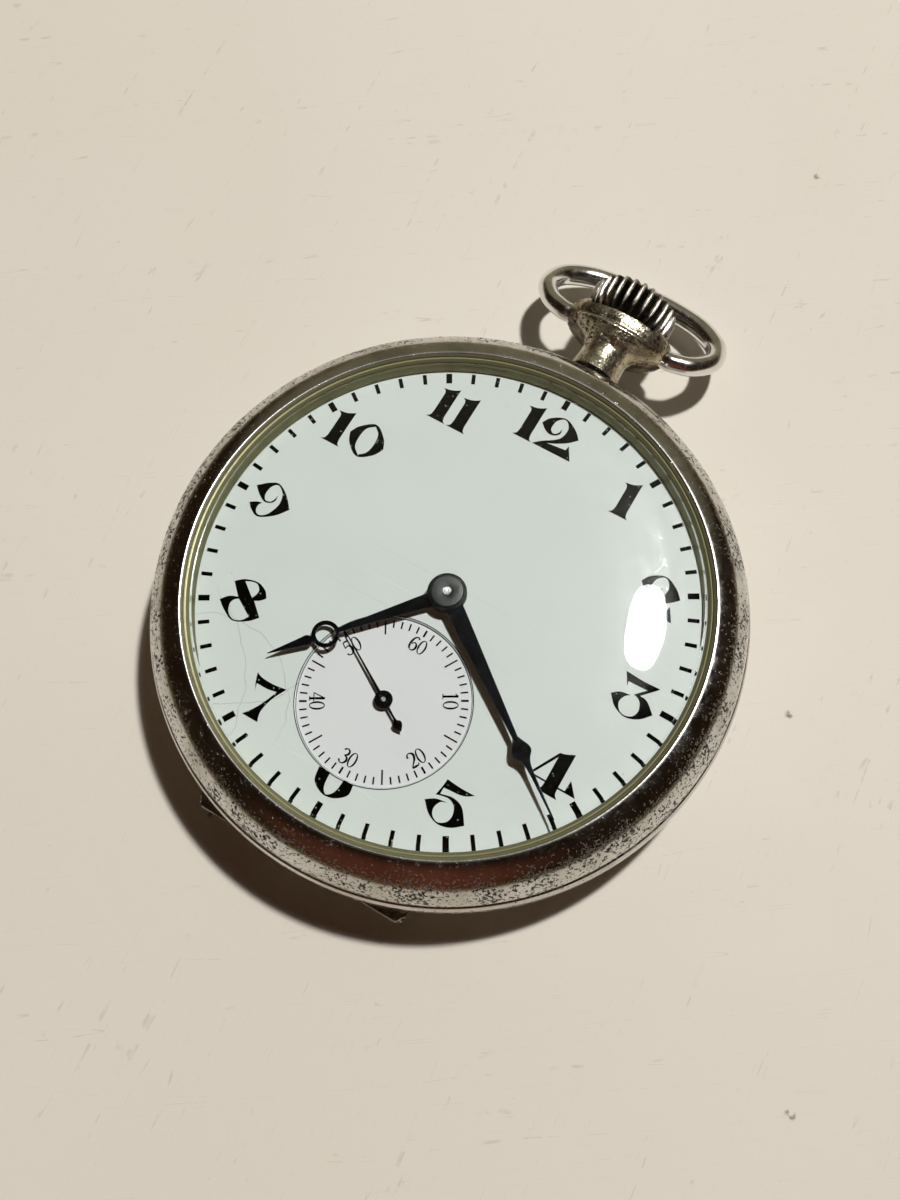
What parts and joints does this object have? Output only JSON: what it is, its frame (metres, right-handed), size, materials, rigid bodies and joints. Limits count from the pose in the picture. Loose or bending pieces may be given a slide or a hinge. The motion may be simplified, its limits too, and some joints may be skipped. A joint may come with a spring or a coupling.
{
  "type": "open face pocket watch",
  "caption": "Round open-face pocket watch with hinged back and dust cover, press-fit bezel, sub-seconds at six and a stem-wound lever movement.",
  "frame": {"origin": "centre of the flat on the back cover, where the watch lies on a table", "axes": "+Z out of the dial, +Y to 12 o'clock and the pendant, +X to 3 o'clock"},
  "size_m": [0.0502, 0.063, 0.0116],
  "materials": {
    "case_nickel": "worn polished nickel",
    "pendant_nickel": "pitted nickel with brass showing",
    "bow_steel": "polished",
    "crown_gunmetal": "dark, worn bright on the ribs",
    "crystal_glass": "clear with fine scratches",
    "dial_enamel": "cool white enamel with black printing",
    "hand_blued": "blue-black",
    "screw_blued": "blued",
    "plate_nickel": "damaskeened nickel",
    "wheel_brass": "gilt",
    "steel": "polished",
    "spring_blued": "blued"
  },
  "bodies": {
    "case": {"case_middle": "case_nickel", "pendant": "pendant_nickel", "pendant_sleeve": "steel", "hinge_pin": "steel", "dial": "dial_enamel", "seconds_dial": "dial_enamel", "main_plate": "plate_nickel", "barrel_bridge": "plate_nickel", "train_bridge": "plate_nickel", "balance_cock": "plate_nickel", "pallet_cock": "plate_nickel", "click_spring": "steel", "barrel_bridge_screw_1": "screw_blued", "barrel_bridge_screw_2": "screw_blued", "train_bridge_screw_1": "screw_blued", "train_bridge_screw_2": "screw_blued", "cock_screw": "screw_blued", "pallet_cock_screw": "screw_blued", "crown_wheel_screw": "screw_blued", "case_screw_1": "screw_blued", "case_screw_2": "screw_blued"},
    "front": {"bezel": "case_nickel", "crystal": "crystal_glass"},
    "back": {"back_cover": "case_nickel"},
    "inner_back": {"dust_cover": "case_nickel"},
    "bow": {"bow": "bow_steel"},
    "winder": {"winding_pinion": "steel"},
    "crown_and_stem": {"crown": "crown_gunmetal", "stem": "steel"},
    "clutch": {"clutch": "steel"},
    "setting_lever": {"setting_lever": "steel"},
    "yoke": {"yoke": "steel"},
    "crown_wheel": {"crown_wheel": "steel"},
    "ratchet": {"ratchet_wheel": "steel", "barrel_arbor": "steel", "ratchet_screw": "screw_blued"},
    "click": {"click": "steel"},
    "barrel": {"barrel_drum": "wheel_brass", "barrel_lid": "wheel_brass", "mainspring": "steel"},
    "centre": {"centre_wheel": "wheel_brass", "centre_pinion": "steel", "cannon_pinion": "steel", "minute_hand": "hand_blued"},
    "third": {"third_wheel": "wheel_brass", "third_pinion": "steel"},
    "fourth": {"fourth_wheel": "wheel_brass", "fourth_pinion": "steel", "seconds_hand": "hand_blued"},
    "escape": {"escape_wheel": "steel", "escape_pinion": "steel"},
    "lever": {"pallet_fork": "steel"},
    "balance": {"balance_wheel": "wheel_brass", "balance_staff": "steel", "hairspring": "spring_blued"},
    "regulator": {"regulator": "steel"},
    "minute_work": {"minute_wheel": "wheel_brass"},
    "hour": {"hour_wheel": "wheel_brass", "hour_hand": "hand_blued"},
    "setting_wheel": {"setting_wheel": "steel"}
  },
  "joints": [
    {"name": "bezel_lift", "type": "slide", "parent": "case", "child": "front", "axis": [0, 0, 1], "range_m": [0, 0.008]},
    {"name": "back_open", "type": "hinge", "parent": "case", "child": "back", "pos_m": [0, -0.02375, 0.0036], "axis": [-1, 0, 0], "range_deg": [0, 92]},
    {"name": "dust_cover_open", "type": "hinge", "parent": "case", "child": "inner_back", "pos_m": [0, -0.02375, 0.0036], "axis": [-1, 0, 0], "range_deg": [0, 80]},
    {"name": "bow_swing", "type": "hinge", "parent": "case", "child": "bow", "pos_m": [0, 0.03, 0.00565], "axis": [1, 0, 0], "range_deg": [-45, 95]},
    {"name": "winding", "type": "hinge", "parent": "case", "child": "winder", "pos_m": [0, 0, 0.00565], "axis": [0, 1, 0], "continuous": true},
    {"name": "crown_pull", "type": "slide", "parent": "winder", "child": "crown_and_stem", "axis": [0, 1, 0], "range_m": [0, 0.0009]},
    {"name": "clutch_slide", "type": "slide", "parent": "winder", "child": "clutch", "axis": [0, -1, 0], "range_m": [0, 0.0006]},
    {"name": "setting_lever_turn", "type": "hinge", "parent": "case", "child": "setting_lever", "pos_m": [0.0041, 0.0172, 0.0074], "axis": [0, 0, 1], "range_deg": [0, 8]},
    {"name": "yoke_turn", "type": "hinge", "parent": "case", "child": "yoke", "pos_m": [-0.0044, 0.0178, 0.0074], "axis": [0, 0, 1], "range_deg": [-8, 0]},
    {"name": "crown_wheel_turn", "type": "hinge", "parent": "case", "child": "crown_wheel", "pos_m": [0, 0.01514, 0.002], "axis": [0, 0, 1], "continuous": true},
    {"name": "ratchet_turn", "type": "hinge", "parent": "case", "child": "ratchet", "pos_m": [-0.0034, 0.00768, 0.002], "axis": [0, 0, 1], "continuous": true},
    {"name": "click_lift", "type": "hinge", "parent": "case", "child": "click", "pos_m": [-0.01108, 0.00822, 0.002], "axis": [0, 0, 1], "range_deg": [0, 8]},
    {"name": "seconds_turn", "type": "hinge", "parent": "case", "child": "fourth", "pos_m": [0, -0.0101, 0.0049], "axis": [0, 0, -1], "continuous": true},
    {"name": "third_turn", "type": "hinge", "parent": "case", "child": "third", "pos_m": [-0.00432, -0.00576, 0.004], "axis": [0, 0, -1], "continuous": true},
    {"name": "centre_turn", "type": "hinge", "parent": "case", "child": "centre", "pos_m": [0, 0, 0.0056], "axis": [0, 0, -1], "continuous": true},
    {"name": "barrel_turn", "type": "hinge", "parent": "case", "child": "barrel", "pos_m": [-0.0034, 0.00768, 0.005], "axis": [0, 0, -1], "continuous": true},
    {"name": "escape_turn", "type": "hinge", "parent": "case", "child": "escape", "pos_m": [0.0052, -0.0126, 0.0056], "axis": [0, 0, -1], "continuous": true},
    {"name": "minute_work_turn", "type": "hinge", "parent": "case", "child": "minute_work", "pos_m": [-0.0024, 0.003, 0.0075], "axis": [0, 0, -1], "continuous": true},
    {"name": "hour_turn", "type": "hinge", "parent": "case", "child": "hour", "pos_m": [0, 0, 0.0079], "axis": [0, 0, -1], "continuous": true},
    {"name": "setting_wheel_turn", "type": "hinge", "parent": "case", "child": "setting_wheel", "pos_m": [-0.00196, 0.00989, 0.0075], "axis": [0, 0, -1], "continuous": true},
    {"name": "lever_rock", "type": "hinge", "parent": "case", "child": "lever", "pos_m": [0.00721, -0.01021, 0.0056], "axis": [0, 0, 1], "range_deg": [-5, 5]},
    {"name": "balance_swing", "type": "hinge", "parent": "case", "child": "balance", "pos_m": [0.01035, -0.00648, 0.0042], "axis": [0, 0, 1], "range_deg": [-140, 140], "stiffness_Nm_per_rad": 0.0000005},
    {"name": "regulator_shift", "type": "hinge", "parent": "case", "child": "regulator", "pos_m": [0.01035, -0.00648, 0.002], "axis": [0, 0, 1], "range_deg": [-12, 12]}
  ],
  "couplings": [
    {"joint": "dust_cover_open", "follows": "back_open", "ratio": 0.85},
    {"joint": "clutch_slide", "follows": "crown_pull", "ratio": 0.6},
    {"joint": "setting_lever_turn", "follows": "crown_pull", "rad_per_m": 140},
    {"joint": "yoke_turn", "follows": "crown_pull", "rad_per_m": -140},
    {"joint": "crown_wheel_turn", "follows": "winding", "ratio": 0.85714},
    {"joint": "ratchet_turn", "follows": "winding", "ratio": -0.51429},
    {"joint": "third_turn", "follows": "seconds_turn", "ratio": -0.13333},
    {"joint": "centre_turn", "follows": "seconds_turn", "ratio": 0.016667},
    {"joint": "barrel_turn", "follows": "seconds_turn", "ratio": -0.0027778},
    {"joint": "escape_turn", "follows": "seconds_turn", "ratio": -10},
    {"joint": "minute_work_turn", "follows": "seconds_turn", "ratio": -0.0055556},
    {"joint": "hour_turn", "follows": "seconds_turn", "ratio": 0.0013889},
    {"joint": "setting_wheel_turn", "follows": "seconds_turn", "ratio": 0.0039683}
  ]
}
